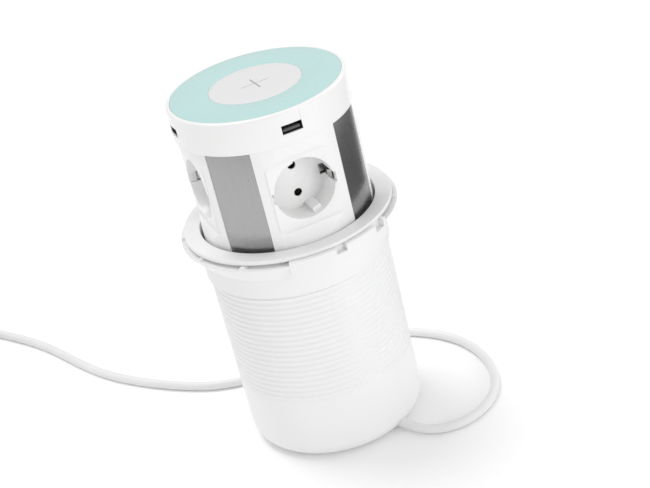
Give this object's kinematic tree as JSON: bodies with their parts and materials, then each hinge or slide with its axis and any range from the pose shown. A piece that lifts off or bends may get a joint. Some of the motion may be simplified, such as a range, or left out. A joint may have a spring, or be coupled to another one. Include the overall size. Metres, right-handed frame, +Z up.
{
  "type": "pop-up desk power socket",
  "caption": "Round pop-up desk socket tower: earthed sockets, USB outlets and a charging top on a head that slides out of a threaded barrel clamped in a desktop hole.",
  "frame": {"origin": "centre of the barrel's foot, on the surface that it stands on", "axes": "+Z up the tower's axis; the front socket faces -Y; the mains cord leaves the foot between -Y and +X"},
  "size_m": [0.4122, 0.4195, 0.25],
  "materials": {
    "barrel_plastic": "smooth moulded, faint blue-grey white",
    "white_plastic": "semi-gloss white",
    "mint_plastic": "semi-gloss pale mint",
    "pad_plastic": "satin light grey",
    "grey_mark": "printed grey",
    "copper_wire": "enamelled copper winding",
    "ferrite": "matt black ceramic",
    "circuit_board": "solder mask over glass fibre",
    "dark_plastic": "matt black",
    "dark_steel": "blackened sheet steel",
    "bright_metal": "nickel-plated, bright",
    "brushed_steel": "vertical brush",
    "brass_strip": "stamped brass",
    "screw_steel": "zinc-plated",
    "grey_plastic": "matt light grey",
    "brown_insulation": "PVC",
    "blue_insulation": "PVC",
    "green_yellow_insulation": "PVC",
    "clear_nylon": "translucent nylon",
    "white_cord": "soft PVC sheath",
    "cord_plastic": "moulded PVC",
    "tie_strap": "hook-and-loop strap"
  },
  "bodies": {
    "base": {"barrel": "barrel_plastic", "foot_cover": "grey_plastic", "foot_cover_screws": "screw_steel", "cord_gland": "cord_plastic", "gland_nut": "cord_plastic", "guide_ring": "white_plastic", "inner_lead": "white_cord", "cord_run": "white_cord", "cord_coil": "white_cord", "cord_tie": "tie_strap", "plug_relief": "cord_plastic", "plug_body": "cord_plastic", "plug_pins": "bright_metal", "plug_earth_strips": "bright_metal"},
    "washer": {"slip_washer": "clear_nylon"},
    "nut": {"clamp_nut": "barrel_plastic"},
    "head": {"cap_screws": "screw_steel", "charger_board": "circuit_board", "charging_coil": "copper_wire", "charging_pad": "pad_plastic", "charging_ring": "mint_plastic", "coil_ferrite": "ferrite", "contact_carrier": "grey_plastic", "earth_busbar": "brass_strip", "earth_clip_front": "bright_metal", "earth_clip_left": "bright_metal", "earth_clip_rear": "bright_metal", "earth_clip_right": "bright_metal", "head_base": "white_plastic", "head_base_screws": "screw_steel", "head_columns": "white_plastic", "head_crown": "white_plastic", "head_skirt": "white_plastic", "live_busbar": "brass_strip", "neutral_busbar": "brass_strip", "pad_plus_mark": "grey_mark", "socket_front": "white_plastic", "socket_left": "white_plastic", "socket_rear": "white_plastic", "socket_right": "white_plastic", "steel_panel_front_left": "brushed_steel", "steel_panel_front_right": "brushed_steel", "steel_panel_rear_left": "brushed_steel", "steel_panel_rear_right": "brushed_steel", "terminal_block": "grey_plastic", "terminal_screws": "screw_steel", "top_cap": "white_plastic", "usb_board": "circuit_board", "usb_shell_front": "dark_steel", "usb_shell_left": "dark_steel", "usb_shell_rear": "dark_steel", "usb_shell_right": "dark_steel", "usb_tongues": "dark_plastic", "wire_earth": "green_yellow_insulation", "wire_live": "brown_insulation", "wire_neutral": "blue_insulation"}
  },
  "joints": [
    {"name": "head_slide", "type": "slide", "parent": "base", "child": "head", "axis": [0, 0, 1], "range_m": [-0.088, 0], "deforming": ["inner_lead"]},
    {"name": "nut_slide", "type": "slide", "parent": "base", "child": "washer", "axis": [0, 0, 1], "range_m": [-0.078, 0]},
    {"name": "nut_turn", "type": "hinge", "parent": "washer", "child": "nut", "pos_m": [0, 0, 0.15], "axis": [0, 0, 1], "range_deg": [-7020, 0]}
  ],
  "couplings": [
    {"joint": "nut_slide", "follows": "nut_turn", "m_per_rad": 0.00063662}
  ]
}
